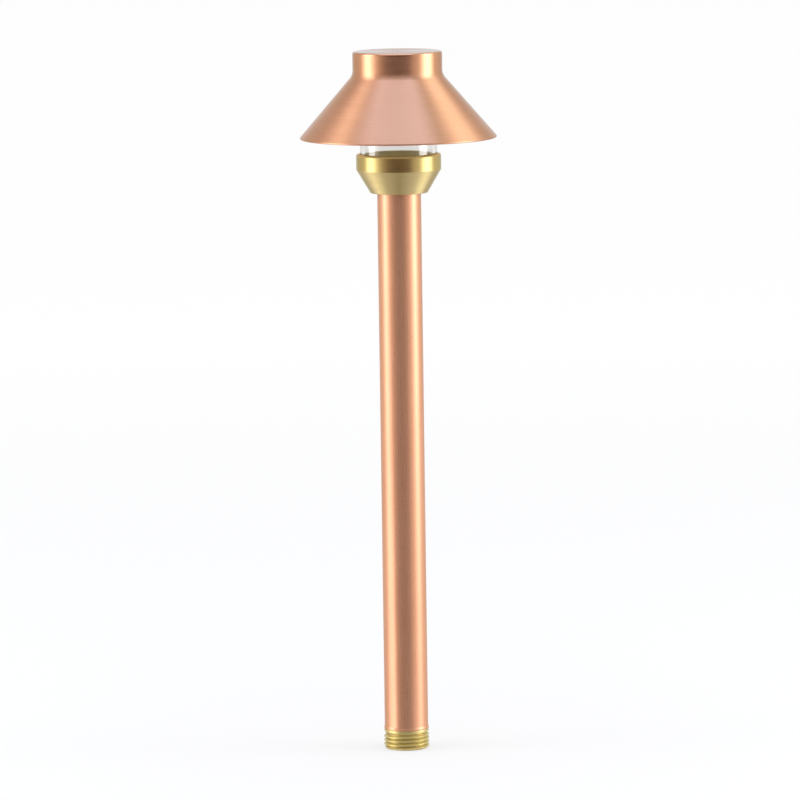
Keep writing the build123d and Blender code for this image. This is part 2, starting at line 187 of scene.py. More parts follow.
def close_mesh() -> None:
    """Merge doubles all over the mesh in edit mode and turn its faces outwards."""
    bpy.ops.mesh.select_all(action="SELECT")
    bpy.ops.mesh.remove_doubles(threshold=JOIN_DISTANCE)
    bpy.ops.mesh.normals_make_consistent(inside=False)


def grey(shade: float) -> Colour:
    """Return a colour with one value in all three channels."""
    return (shade, shade, shade)


def make_active(piece: bpy.types.Object) -> None:
    """Select one object alone and make it active.

    Args:
        piece: The object.
    """
    bpy.ops.object.select_all(action="DESELECT")
    piece.select_set(True)
    bpy.context.view_layer.objects.active = piece


def smooth(piece: bpy.types.Object) -> None:
    """Shade a turned piece smooth, with crisp edges and flat faces that stay flat.

    Args:
        piece: The piece, in object mode.
    """
    make_active(piece)
    bpy.ops.object.shade_smooth_by_angle(angle=SMOOTH_ANGLE)
    bpy.ops.object.modifier_add(type="WEIGHTED_NORMAL")
    weighted = piece.modifiers[-1]
    weighted.keep_sharp = True
    weighted.weight = FACE_WEIGHT
    bpy.ops.object.modifier_apply(modifier=weighted.name)


def place_piece(piece: bpy.types.Object, body: Body, nodes: Sequence[str]) -> None:
    """Fasten a finished piece to its body and let it stand for its CAD nodes.

    Args:
        piece: The finished object.
        body: The body that it rides on.
        nodes: Names of the CAD nodes that it stands for.
    """
    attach(piece, body.value)
    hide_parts(*nodes)
    log.info("%s: %d faces, on %s", piece.name, len(piece.data.polygons), body.value)


def node_radius(node: str) -> float:
    """Return the outer radius of a round CAD node on the stem's axis."""
    low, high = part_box(node)
    return max(high.x, high.y, -low.x, -low.y)


def node_levels(node: str) -> tuple[float, float]:
    """Return the lowest and the highest level of a CAD node."""
    low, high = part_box(node)
    return low.z, high.z


class NodeSheet:
    """Short way to add and join the nodes of one material, world or lamp."""

    def __init__(self, owner: bpy.types.ID) -> None:
        """Open the owner's node tree and clear it.

        Args:
            owner: The material, world or lamp.
        """
        owner.use_nodes = True
        self.tree = owner.node_tree
        self.tree.nodes.clear()

    def add(self, kind: str, inputs: dict | None = None, **settings: object) -> bpy.types.Node:
        """Add a node.

        Args:
            kind: The node's type name, without its ShaderNode prefix.
            inputs: Value or socket for each input, by its name or index.
            **settings: The node's own properties.

        Returns:
            The new node.
        """
        node = self.tree.nodes.new("ShaderNode" + kind)
        for name, value in settings.items():
            setattr(node, name, value)
        for key, value in (inputs or {}).items():
            if isinstance(value, bpy.types.NodeSocket):
                self.tree.links.new(value, node.inputs[key])
            else:
                node.inputs[key].default_value = value
        return node

    def math(self, operation: str, *values: object) -> bpy.types.NodeSocket:
        """Return the result of a Math node with these values or sockets."""
        return self.add("Math", dict(enumerate(values)), operation=operation).outputs[0]

    def vector(self, operation: str, *values: object) -> bpy.types.Node:
        """Return a Vector Math node with these values or sockets."""
        return self.add("VectorMath", dict(enumerate(values)), operation=operation)

    def ramp(self, value: bpy.types.NodeSocket, stops: Stops) -> bpy.types.NodeSocket:
        """Make a colour follow a value.

        Args:
            value: The value, from 0 to 1.
            stops: Positions on the value's way and their colours.

        Returns:
            The colour's socket.
        """
        node = self.add("ValToRGB", {0: value})
        elements = node.color_ramp.elements
        while len(elements) < len(stops):
            elements.new(0.5)
        for element, (position, colour) in zip(elements, stops):
            element.position = position
            element.color = (*colour, 1.0)
        return node.outputs[0]

    def span(self, value: object, low: float, high: float, to_low: float = 0.0, to_high: float = 1.0,
             ease: str = "SMOOTHSTEP") -> bpy.types.NodeSocket:
        """Return a value mapped from one range to another and kept inside it."""
        inputs = {"Value": value, "From Min": low, "From Max": high, "To Min": to_low, "To Max": to_high}
        return self.add("MapRange", inputs, interpolation_type=ease).outputs[0]

    def blend(self, share: object, first: object, second: object) -> bpy.types.NodeSocket:
        """Mix two colours.

        Args:
            share: The second colour's share, a value or a socket.
            first: The first colour or its socket.
            second: The second colour or its socket.

        Returns:
            The mixed colour's socket.
        """
        node = self.add("Mix", data_type="RGBA")
        # This node takes its two colours in sockets 6 and 7 and gives their mix in socket 2.
        for index, value in ((0, share), (6, first), (7, second)):
            if isinstance(value, bpy.types.NodeSocket):
                self.tree.links.new(value, node.inputs[index])
            elif isinstance(value, tuple):
                node.inputs[index].default_value = (*value, 1.0)
            else:
                node.inputs[index].default_value = value
        return node.outputs[2]

    def noise(self, vector: bpy.types.NodeSocket, scale: float, detail: float = 2.0,
              roughness: float = 0.5) -> bpy.types.NodeSocket:
        """Return the value of a noise texture."""
        inputs = {"Vector": vector, "Scale": scale, "Detail": detail, "Roughness": roughness}
        return self.add("TexNoise", inputs).outputs[0]

    def place(self) -> bpy.types.NodeSocket:
        """Return the point on the piece, in metres."""
        return self.add("TexCoord").outputs["Object"]

    def level(self, place: bpy.types.NodeSocket) -> bpy.types.NodeSocket:
        """Return a point's height."""
        return self.add("SeparateXYZ", {0: place}).outputs[2]

    def plan(self, place: bpy.types.NodeSocket) -> bpy.types.NodeSocket:
        """Return a point without its height."""
        return self.vector("MULTIPLY", place, (1.0, 1.0, 0.0)).outputs[0]

    def radius(self, place: bpy.types.NodeSocket) -> bpy.types.NodeSocket:
        """Return a point's distance from the stem's axis."""
        return self.vector("LENGTH", self.plan(place)).outputs["Value"]

    def surface(self, shader: bpy.types.Node) -> None:
        """Send a shader to the material's output."""
        self.add("OutputMaterial", {"Surface": shader.outputs[0]})


@dataclass(frozen=True)
class Finish:
    """What every finish has: a name, a colour and a roughness."""

    name: str
    colour: Colour
    roughness: float

    def start(self) -> tuple[bpy.types.Material, NodeSheet]:
        """Begin the material.

        Returns:
            The new material and its empty sheet of nodes.
        """
        material = bpy.data.materials.new(self.name)
        material.diffuse_color = (*self.colour, 1.0)
        return material, NodeSheet(material)

    def put_on(self, *pieces: bpy.types.Object) -> None:
        """Give this finish to pieces, in place of what they had.

        Args:
            *pieces: The pieces, which share one material.
        """
        material = self.build()
        for piece in pieces:
            if piece.data.materials:
                piece.data.materials[0] = material
            else:
                piece.data.materials.append(material)

    def build(self) -> bpy.types.Material:
        """Return the finished material."""
        raise NotImplementedError


def turned_place(sheet: NodeSheet, lines: float, drift: float) -> bpy.types.NodeSocket:
    """Coordinates in which a noise becomes fine lines round the stem's axis.

    Args:
        sheet: The material's nodes.
        lines: Pattern units per metre across the lines.
        drift: Pattern units once round the axis, divided by a full turn.

    Returns:
        A vector socket that has no seam round the axis.
    """
    place = sheet.place()
    around = sheet.vector("NORMALIZE", sheet.plan(place)).outputs[0]
    turned = sheet.add("SeparateXYZ", {0: around})
    # The radius counts too, so that flat faces get their rings.
    across = sheet.math("SUBTRACT", sheet.level(place), sheet.math("MULTIPLY", sheet.radius(place), 0.5))
    parts = {
        0: sheet.math("MULTIPLY", turned.outputs[0], drift),
        1: sheet.math("MULTIPLY", turned.outputs[1], drift),
        2: sheet.math("MULTIPLY", across, lines),
    }
    return sheet.add("CombineXYZ", parts).outputs[0]


@dataclass(frozen=True)
class TurnedMetal(Finish):
    """Metal spun or turned on a lathe, with fine tool lines round the axis."""

    dark_colour: Colour
    smooth_above: float | None = None
    dull_above: float | None = None
    anisotropy: float = 0.9
    broad_lines: float = 900.0
    broad_drift: float = 1.2
    fine_lines: float = 5200.0
    fine_drift: float = 5.0
    cloud_scale: float = 45.0
    line_depth: float = 0.012 * MM
    line_strength: float = 0.25
    rough_spread: float = 0.05
    smooth_reach: float = 0.5 * MM
    smooth_share: float = 0.45
    dull_radius: float = 18.3 * MM
    lip_level: float = 277.0 * MM
    dull_metallic: float = 0.4

    def worn_roughness(self, sheet: NodeSheet, lines: bpy.types.NodeSocket) -> bpy.types.NodeSocket:
        """Let the tool lines roughen the metal, less so on a face that was polished.

        Args:
            sheet: The material's nodes.
            lines: The tool lines' pattern.

        Returns:
            The roughness socket.
        """
        low, high = self.roughness - self.rough_spread, self.roughness + self.rough_spread
        roughness = sheet.span(lines, 0.3, 0.7, low, high, "LINEAR")
        if self.smooth_above is None:
            return roughness
        level = sheet.level(sheet.place())
        polished_above = self.smooth_above + self.smooth_reach
        share = sheet.span(level, self.smooth_above, polished_above, 1.0, self.smooth_share)
        return sheet.math("MULTIPLY", roughness, share)

    def shine(self, sheet: NodeSheet) -> float | bpy.types.NodeSocket:
        """Let the metal be duller in the cup and on its lip, where it was left as cut.

        Args:
            sheet: The material's nodes.

        Returns:
            The metallic value, or its socket where the piece has a cup.
        """
        if self.dull_above is None:
            return 1.0
        place = sheet.place()
        level = sheet.level(place)
        in_cup = sheet.math("LESS_THAN", sheet.radius(place), self.dull_radius)
        on_lip = sheet.math("GREATER_THAN", level, self.lip_level)
        above_floor = sheet.math("GREATER_THAN", level, self.dull_above)
        dull = sheet.math("MULTIPLY", sheet.math("MAXIMUM", in_cup, on_lip), above_floor)
        return sheet.span(dull, 0.0, 1.0, 1.0, self.dull_metallic, "LINEAR")

    def build(self) -> bpy.types.Material:
        """Build the material.

        Returns:
            The finished material.
        """
        material, sheet = self.start()
        broad = sheet.noise(turned_place(sheet, self.broad_lines, self.broad_drift), 1.0, 3.0, 0.6)
        fine = sheet.noise(turned_place(sheet, self.fine_lines, self.fine_drift), 1.0, 3.0, 0.65)
        cloud = sheet.noise(sheet.place(), self.cloud_scale, 3.0, 0.5)
        lines = sheet.math("ADD", sheet.math("MULTIPLY", broad, 0.55), sheet.math("MULTIPLY", fine, 0.45))
        tone = sheet.span(sheet.math("ADD", lines, sheet.math("MULTIPLY", cloud, 0.35)), 0.45, 0.9)
        colour = sheet.blend(tone, self.dark_colour, self.colour)
        bump = sheet.add(
            "Bump", {"Strength": self.line_strength, "Distance": self.line_depth, "Height": lines}
        )
        tangent = sheet.add("Tangent", direction_type="RADIAL", axis="Z")
        shader = sheet.add(
            "BsdfPrincipled",
            {
                "Base Color": colour,
                "Metallic": self.shine(sheet),
                "Roughness": self.worn_roughness(sheet, lines),
                "Anisotropic": self.anisotropy,
                "Anisotropic Rotation": 0.25,
                "Normal": bump.outputs[0],
                "Tangent": tangent.outputs[0],
            },
        )
        sheet.surface(shader)
        return material


@dataclass(frozen=True)
class DrawnMetal(Finish):
    """Metal tube drawn through a die, satin, with faint marks along its length."""

    dark_colour: Colour
    metallic: float = 0.7
    mark_scale: float = 2600.0
    mark_stretch: float = 0.02
    mark_depth: float = 0.01 * MM
    grain_scale: float = 4200.0
    cloud_scale: float = 60.0
    cloud_stretch: float = 0.35

    def build(self) -> bpy.types.Material:
        """Build the material.

        Returns:
            The finished material.
        """
        material, sheet = self.start()
        place = sheet.place()
        along = sheet.vector("MULTIPLY", place, (1.0, 1.0, self.mark_stretch)).outputs[0]
        drifting = sheet.vector("MULTIPLY", place, (1.0, 1.0, self.cloud_stretch)).outputs[0]
        marks = sheet.noise(along, self.mark_scale, 3.0, 0.6)
        grain = sheet.noise(place, self.grain_scale, 2.0, 0.6)
        cloud = sheet.noise(drifting, self.cloud_scale, 3.0, 0.55)
        height = sheet.math("ADD", sheet.math("MULTIPLY", marks, 0.6), sheet.math("MULTIPLY", grain, 0.4))
        tone = sheet.span(sheet.math("ADD", cloud, sheet.math("MULTIPLY", height, 0.25)), 0.35, 0.8)
        colour = sheet.blend(tone, self.dark_colour, self.colour)
        roughness = sheet.span(height, 0.3, 0.7, self.roughness - 0.02, self.roughness + 0.03, "LINEAR")
        bump = sheet.add("Bump", {"Strength": 0.1, "Distance": self.mark_depth, "Height": height})
        shader = sheet.add(
            "BsdfPrincipled",
            {
                "Base Color": colour,
                "Metallic": self.metallic,
                "Roughness": roughness,
                "Normal": bump.outputs[0],
            },
        )
        sheet.surface(shader)
        return material


@dataclass(frozen=True)
class ThreadedMetal(Finish):
    """Brass thread cut with a die: brass-coloured crests and flanks, rougher at the roots, with a darker
    colour at the roots that is painted shade.
    """

    # Darker colour at the roots of the thread: painted shade in the grooves.
    root_shade_colour: Colour = (0.62, 0.49, 0.21)
    metallic: float = 0.7
    root_radius: float = 9.4 * MM
    crest_radius: float = 10.55 * MM
    chatter_lines: float = 4000.0
    chatter_drift: float = 9.0
    chatter_reach: float = 0.4 * MM
    chatter_depth: float = 0.02 * MM

    def build(self) -> bpy.types.Material:
        """Build the material.

        Returns:
            The finished material.
        """
        material, sheet = self.start()
        chatter = sheet.noise(turned_place(sheet, self.chatter_lines, self.chatter_drift), 1.0, 3.0, 0.6)
        reach = sheet.math("MULTIPLY", chatter, self.chatter_reach)
        ragged_radius = sheet.math("ADD", sheet.radius(sheet.place()), reach)
        depth = sheet.span(ragged_radius, self.root_radius, self.crest_radius)
        # Colour goes darker towards the roots by radius: painted shade in the thread's grooves.
        colour = sheet.blend(depth, self.root_shade_colour, self.colour)
        roughness = sheet.span(depth, 0.0, 1.0, self.roughness + 0.14, self.roughness, "LINEAR")
        bump = sheet.add("Bump", {"Strength": 0.35, "Distance": self.chatter_depth, "Height": chatter})
        shader = sheet.add(
            "BsdfPrincipled",
            {
                "Base Color": colour,
                "Metallic": self.metallic,
                "Roughness": roughness,
                "Normal": bump.outputs[0],
            },
        )
        sheet.surface(shader)
        return material


@dataclass(frozen=True)
class ClearGlass(Finish):
    """Clear pressed glass with faint waves and a trace of handling marks."""

    refraction: float = 1.47
    wave_scale: float = 90.0
    wave_depth: float = 0.05 * MM
    haze_scale: float = 700.0
    haze_roughness: float = 0.05

    def build(self) -> bpy.types.Material:
        """Build the material.

        Returns:
            The finished material.
        """
        material, sheet = self.start()
        place = sheet.place()
        waves = sheet.noise(place, self.wave_scale, 2.0, 0.5)
        haze = sheet.noise(place, self.haze_scale, 4.0, 0.6)
        roughness = sheet.span(haze, 0.55, 0.8, self.roughness, self.roughness + self.haze_roughness)
        bump = sheet.add("Bump", {"Strength": 0.12, "Distance": self.wave_depth, "Height": waves})
        shader = sheet.add(
            "BsdfPrincipled",
            {
                "Base Color": (*self.colour, 1.0),
                "Roughness": roughness,
                "Transmission Weight": 1.0,
                "IOR": self.refraction,
                "Normal": bump.outputs[0],
            },
        )
        sheet.surface(shader)
        return material


@dataclass(frozen=True)
class MouldedStuff(Finish):
    """Moulded or fired stuff that isn't metal, with a fine grain and slight shifts of tone."""

    grain_size: float = 0.25 * MM
    grain_depth: float = 0.01 * MM
    tone_shift: float = 0.12
    cloud_scale: float = 220.0

    def build(self) -> bpy.types.Material:
        """Build the material.

        Returns:
            The finished material.
        """
        material, sheet = self.start()
        place = sheet.place()
        grain = sheet.noise(place, 1.0 / self.grain_size, 3.0, 0.6)
        cloud = sheet.noise(place, self.cloud_scale, 2.0, 0.5)
        darker = tuple(channel * (1.0 - self.tone_shift) for channel in self.colour)
        colour = sheet.blend(sheet.span(cloud, 0.3, 0.7), darker, self.colour)
        roughness = sheet.span(grain, 0.3, 0.7, self.roughness - 0.06, self.roughness + 0.06, "LINEAR")
        bump = sheet.add("Bump", {"Strength": 0.3, "Distance": self.grain_depth, "Height": grain})
        shader = sheet.add(
            "BsdfPrincipled", {"Base Color": colour, "Roughness": roughness, "Normal": bump.outputs[0]}
        )
        sheet.surface(shader)
        return material


@dataclass(frozen=True)
class PlatedMetal(Finish):
    """Small metal part with a plated, slightly blotchy surface."""

    blotch_colour: Colour
    blotch_scale: float = 380.0
    grain_scale: float = 3500.0
    grain_depth: float = 0.008 * MM

    def build(self) -> bpy.types.Material:
        """Build the material.

        Returns:
            The finished material.
        """
        material, sheet = self.start()
        place = sheet.place()
        grain = sheet.noise(place, self.grain_scale, 3.0, 0.6)
        blotch = sheet.noise(place, self.blotch_scale, 3.0, 0.6)
        colour = sheet.blend(sheet.span(blotch, 0.35, 0.7), self.blotch_colour, self.colour)
        roughness = sheet.span(blotch, 0.3, 0.7, self.roughness - 0.05, self.roughness + 0.08, "LINEAR")
        bump = sheet.add("Bump", {"Strength": 0.25, "Distance": self.grain_depth, "Height": grain})
        shader = sheet.add(
            "BsdfPrincipled",
            {"Base Color": colour, "Metallic": 1.0, "Roughness": roughness, "Normal": bump.outputs[0]},
        )
        sheet.surface(shader)
        return material


SPUN_COPPER = TurnedMetal(
    "spun_copper", (0.91, 0.515, 0.315), 0.33, dark_colour=(0.84, 0.46, 0.27), smooth_above=323.6 * MM
)
TURNED_BRASS = TurnedMetal(
    "turned_brass", (0.80, 0.68, 0.29), 0.31, dark_colour=(0.74, 0.62, 0.245), dull_above=271.0 * MM
)
DRAWN_COPPER = DrawnMetal("drawn_copper", (0.93, 0.49, 0.305), 0.28, dark_colour=(0.88, 0.45, 0.275))
CUT_BRASS = ThreadedMetal("cut_brass", (0.84, 0.73, 0.31), 0.24)
CLEAR_GLASS = ClearGlass("clear_glass", (0.88, 0.875, 0.86), 0.0)


@dataclass
class Shade:
    """Spun copper shade: flat top, straight neck and a cone with a square-cut brim."""

    neck_radius: float = 20.65 * MM
    neck_height: float = 10.7 * MM
    brim_corner_radius: float = 45.5 * MM
    cone_height: float = 28.85 * MM
    wall: float = 1.0 * MM
    top_round: float = 1.0 * MM
    neck_round: float = 5.0 * MM
    brim_round: float = 0.4 * MM

    def corners(self) -> list[Corner]:
        """Work out the half-section.

        Returns:
            Its corners, from the middle of the top round the brim to the middle of the ceiling.
        """
        top = node_levels("shade")[1]
        ceiling = top - self.wall
        corner = top - self.neck_height
        brim = corner - self.cone_height
        run = self.brim_corner_radius - self.neck_radius
        length = math.hypot(run, self.cone_height)
        inner_neck = self.neck_radius - self.wall
        edge_radius = self.brim_corner_radius - self.wall * self.cone_height / length
        edge_level = brim - self.wall * run / length
        inner_corner = edge_level + (edge_radius - inner_neck) * self.cone_height / run
        return [
            Corner(0.0, top),
            Corner(self.neck_radius, top, self.top_round, 8),
            Corner(self.neck_radius, corner, self.neck_round, 12),
            Corner(self.brim_corner_radius, brim, self.brim_round),
            Corner(edge_radius, edge_level, self.brim_round),
            Corner(inner_neck, inner_corner, self.neck_round + self.wall, 12),
            Corner(inner_neck, ceiling),
            Corner(0.0, ceiling),
        ]

    def build(self) -> bpy.types.Object:
        """Return the shade's mesh object."""
        return Lathe("shade_shell", self.corners(), closed=False).turn()

    def dress(self) -> None:
        """Build the shade, finish it and put it in its place."""
        shell = self.build()
        SPUN_COPPER.put_on(shell)
        place_piece(shell, Body.SHADE, ["shade"])


@dataclass
class Collar:
    """Turned brass collar: a cup for the glass above a cone that meets the stem."""

    foot_radius: float = 13.2 * MM
    cone_height: float = 10.8 * MM
    cup_radius: float = 18.0 * MM
    cup_depth: float = 6.45 * MM
    well_radius: float = 15.0 * MM
    well_depth: float = 2.8 * MM
    nipple_hole_radius: float = 8.73 * MM
    seat_radius: float = 10.23 * MM
    seat_depth: float = 3.0 * MM
    groove_radius: float = 18.65 * MM
    groove_level: float = 3.2 * MM
    groove_width: float = 1.0 * MM

    def corners(self) -> list[Corner]:
        """Work out the half-section of the ring.

        Returns:
            Its corners, from the stem's seat outwards and back.
        """
        bottom, top = node_levels("collar")
        outer = node_radius("collar")
        cup_floor = top - self.cup_depth
        well_floor = cup_floor - self.well_depth
        groove_bottom = cup_floor + self.groove_level - self.groove_width / 2
        groove_top = groove_bottom + self.groove_width
        return [
            Corner(self.seat_radius, bottom, 0.15 * MM, 3),
            Corner(self.foot_radius, bottom, 0.6 * MM),
            Corner(outer, bottom + self.cone_height, 0.35 * MM),
            Corner(outer, top, 0.9 * MM, 8),
            Corner(self.cup_radius, top, 0.3 * MM, 4),
            Corner(self.cup_radius, groove_top),
            Corner(self.groove_radius, groove_top),
            Corner(self.groove_radius, groove_bottom),
            Corner(self.cup_radius, groove_bottom),
            Corner(self.cup_radius, cup_floor),
            Corner(self.well_radius, cup_floor, 0.2 * MM, 3),
            Corner(self.well_radius, well_floor),
            Corner(self.nipple_hole_radius, well_floor, 0.2 * MM, 3),
            Corner(self.nipple_hole_radius, bottom + self.seat_depth),
            Corner(self.seat_radius, bottom + self.seat_depth),
        ]

    def dress(self) -> None:
        """Build the collar, finish it and put it in its place."""
        ring = Lathe("collar_ring", self.corners(), closed=True).turn()
        TURNED_BRASS.put_on(ring)
        place_piece(ring, Body.BASE, ["collar"])


@dataclass
class Stem:
    """Straight copper tube whose foot end is pressed out to a small bead."""

    radius: float = 10.13 * MM
    bore_radius: float = 9.13 * MM
    bead_radius: float = 10.38 * MM
    bead_height: float = 0.6 * MM
    flare_height: float = 0.8 * MM

    def corners(self) -> list[Corner]:
        """Work out the half-section of the tube's wall.

        Returns:
            Its corners, from the foot up and back inside.
        """
        bottom, top = node_levels("stem_tube")
        bead_top = bottom + self.bead_height
        return [
            Corner(self.bore_radius, bottom, 0.15 * MM, 3),
            Corner(self.bead_radius, bottom, 0.3 * MM, 6),
            Corner(self.bead_radius, bead_top, 0.6 * MM, 6),
            Corner(self.radius, bead_top + self.flare_height, 1.2 * MM, 6),
            Corner(self.radius, top, 0.2 * MM, 3),
            Corner(self.bore_radius, top),
        ]

    def dress(self) -> None:
        """Build the tube, finish it and put it in its place."""
        tube = Lathe("stem_pipe", self.corners(), closed=True).turn()
        DRAWN_COPPER.put_on(tube)
        place_piece(tube, Body.BASE, ["stem_tube"])


@dataclass
class FootBushing:
    """Brass end piece of the stem, with a true right-hand pipe thread below the stem."""

    bore_radius: float = 7.5 * MM
    bore_length: float = 11.0 * MM
    seat_radius: float = 8.1 * MM
    insert_radius: float = 9.08 * MM
    stem_bottom: float = 9.25 * MM
    shoulder_radius: float = 10.33 * MM
    shoulder_height: float = 1.2 * MM
    thread_top: float = 6.4 * MM
    relief_radius: float = 9.4 * MM
    relief_slope: float = 0.6 * MM
    relief_root: float = 0.3 * MM
    end_chamfer: float = 0.9 * MM
    bore_chamfer: float = 0.4 * MM
    pitch: float = 25.4 / 14 * MM
    root_radius: float = 9.47 * MM
    root_flat: float = 0.22 * MM
    cutter_radius: float = 10.72 * MM
    flank_angle: float = 30.0
    crest_level: float = 3.8 * MM
    crest_bevel: float = 0.06 * MM
    turns: int = 5
    turns_above_crest: int = 2
    steps: int = 128

    def body_corners(self) -> list[Corner]:
        """Work out the half-section before the thread is cut.

        Returns:
            Its corners, from the bore's mouth outwards, up and back down the bore.
        """
        outer = node_radius("lower_bushing")
        top = node_levels("lower_bushing")[1]
        root_bottom = self.thread_top + self.relief_slope
        return [
            Corner(self.bore_radius + self.bore_chamfer, 0.0),
            Corner(outer - self.end_chamfer, 0.0, 0.15 * MM, 3),
            Corner(outer, self.end_chamfer, 0.2 * MM, 3),
            Corner(outer, self.thread_top),
            Corner(self.relief_radius, root_bottom, 0.2 * MM, 4),
            Corner(self.relief_radius, root_bottom + self.relief_root, 0.2 * MM, 4),
            Corner(self.shoulder_radius, self.stem_bottom - self.shoulder_height, 0.3 * MM, 4),
            Corner(self.shoulder_radius, self.stem_bottom, 0.15 * MM, 3),
            Corner(self.insert_radius, self.stem_bottom),
            Corner(self.insert_radius, top),
            Corner(self.seat_radius, top),
            Corner(self.seat_radius, self.bore_length),
            Corner(self.bore_radius, self.bore_length),
            Corner(self.bore_radius, self.bore_chamfer),
        ]

    def cutter(self) -> bpy.types.Object:
        """Make the helical groove as a closed solid.

        Returns:
            The cutter, which runs out in the relief at the +X side, two turns above the crest level.
        """
        slope = math.tan(math.radians(self.flank_angle))
        half_mouth = self.root_flat / 2 + (self.cutter_radius - self.root_radius) * slope
        start = self.crest_level + self.pitch * (self.turns_above_crest - self.turns)
        section = [
            Corner(self.root_radius, start - self.root_flat / 2),
            Corner(self.cutter_radius, start - half_mouth),
            Corner(self.cutter_radius, start + half_mouth),
            Corner(self.root_radius, start + self.root_flat / 2),
        ]
        cutter = Lathe("groove_cutter", section, closed=True).draw()
        bpy.ops.object.mode_set(mode="OBJECT")
        make_active(cutter)
        bpy.ops.object.modifier_add(type="SCREW")
        screw = cutter.modifiers[-1]
        screw.axis = "Z"
        screw.angle = math.tau
        screw.screw_offset = self.pitch
        screw.iterations = self.turns
        screw.steps = screw.render_steps = self.steps
        screw.use_merge_vertices = False
        bpy.ops.object.modifier_apply(modifier=screw.name)
        bpy.ops.object.mode_set(mode="EDIT")
        bpy.ops.mesh.select_all(action="SELECT")
        bpy.ops.mesh.fill_holes(sides=4)
        close_mesh()
        bpy.ops.object.mode_set(mode="OBJECT")
        return cutter

    def build(self) -> bpy.types.Object:
        """Turn the bushing and cut its thread.

        Returns:
            The bushing's mesh object.
        """
        bushing = Lathe("foot_bushing", self.body_corners(), closed=True).turn()
        cutter = self.cutter()
        make_active(bushing)
        bpy.ops.object.modifier_add(type="BOOLEAN")
        cut = bushing.modifiers[-1]
        cut.object = cutter
        cut.operation = "DIFFERENCE"
        cut.solver = "EXACT"
        bpy.ops.object.modifier_apply(modifier=cut.name)
        bpy.data.objects.remove(cutter)
        bpy.ops.object.modifier_add(type="BEVEL")
        bevel = bushing.modifiers[-1]
        bevel.width = self.crest_bevel
        bevel.segments = 2
        bevel.limit_method = "ANGLE"
        bevel.angle_limit = SMOOTH_ANGLE
        bpy.ops.object.modifier_apply(modifier=bevel.name)
        smooth(bushing)
        return bushing

    def dress(self) -> None:
        """Build the bushing, finish it and put it in its place."""
        bushing = self.build()
        CUT_BRASS.put_on(bushing)
        place_piece(bushing, Body.BASE, ["lower_bushing"])


@dataclass
class GlassJar:
    """Clear glass jar, open end down in the collar."""

    radius: float = 17.75 * MM
    wall: float = 2.0 * MM
    top_thickness: float = 2.5 * MM
    shoulder_round: float = 4.0 * MM
    inner_round: float = 2.5 * MM
    rim_round: float = 0.5 * MM

    def corners(self) -> list[Corner]:
        """Work out the half-section.

        Returns:
            Its corners, from the middle of the top down the wall and up inside.
        """
        bottom, top = node_levels("lens_jar")
        inner = self.radius - self.wall
        ceiling = top - self.top_thickness
        return [
            Corner(0.0, top),
            Corner(self.radius, top, self.shoulder_round, 14),
            Corner(self.radius, bottom, self.rim_round, 6),
            Corner(inner, bottom, self.rim_round, 6),
            Corner(inner, ceiling, self.inner_round, 12),
            Corner(0.0, ceiling),
        ]

    def dress(self) -> None:
        """Build the jar, finish it and put it in its place."""
        jar = Lathe("glass_jar", self.corners(), closed=False).turn()
        CLEAR_GLASS.put_on(jar)
        place_piece(jar, Body.LENS, ["lens_jar"])


@dataclass
class CarriedParts:
    """CAD nodes that keep their own shape and get a better finish."""

    finishes: list[tuple[Finish, tuple[str, ...]]] = field(
        default_factory=lambda: [
            (TURNED_BRASS, ("shade_sleeve", "upper_bushing")),
            (
                MouldedStuff("clear_silicone", (0.62, 0.60, 0.57), 0.45),
                ("lens_gasket", "lens_o_ring", "shade_o_rings", "shade_cushion", "lead_grommet"),
            ),
            (MouldedStuff("black_rubber", (0.022, 0.022, 0.024), 0.6), ("stem_seal",)),
            (
                PlatedMetal("zinc_plate", (0.72, 0.73, 0.74), 0.32, blotch_colour=(0.6, 0.61, 0.6)),
                ("socket_bracket", "bracket_screws", "socket_clip"),
            ),
            (
                MouldedStuff("fired_ceramic", (0.80, 0.78, 0.72), 0.5, grain_size=0.4 * MM),
                ("socket_body",),
            ),
            (
                PlatedMetal("tinned_copper", (0.80, 0.78, 0.74), 0.25, blotch_colour=(0.72, 0.66, 0.58)),
                ("socket_contacts", "lead_strands", "lamp_pins"),
            ),
            (MouldedStuff("black_insulation", (0.03, 0.03, 0.032), 0.38), ("lead_return",)),
            (MouldedStuff("red_insulation", (0.42, 0.03, 0.025), 0.38), ("lead_supply",)),
            (MouldedStuff("lamp_plastic", (0.78, 0.77, 0.74), 0.42), ("lamp_base",)),
            (MouldedStuff("board_lacquer", (0.84, 0.85, 0.84), 0.3, tone_shift=0.05), ("lamp_board",)),
            (MouldedStuff("phosphor_gel", (0.86, 0.66, 0.12), 0.3), ("lamp_leds",)),
            (MouldedStuff("chip_resin", (0.03, 0.03, 0.033), 0.45), ("lamp_driver_parts",)),
        ]
    )

    def dress(self) -> None:
        """Put each finish on its nodes."""
        for finish, names in self.finishes:
            finish.put_on(*[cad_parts[name] for name in names])
            log.info("%s: %s", finish.name, ", ".join(names))


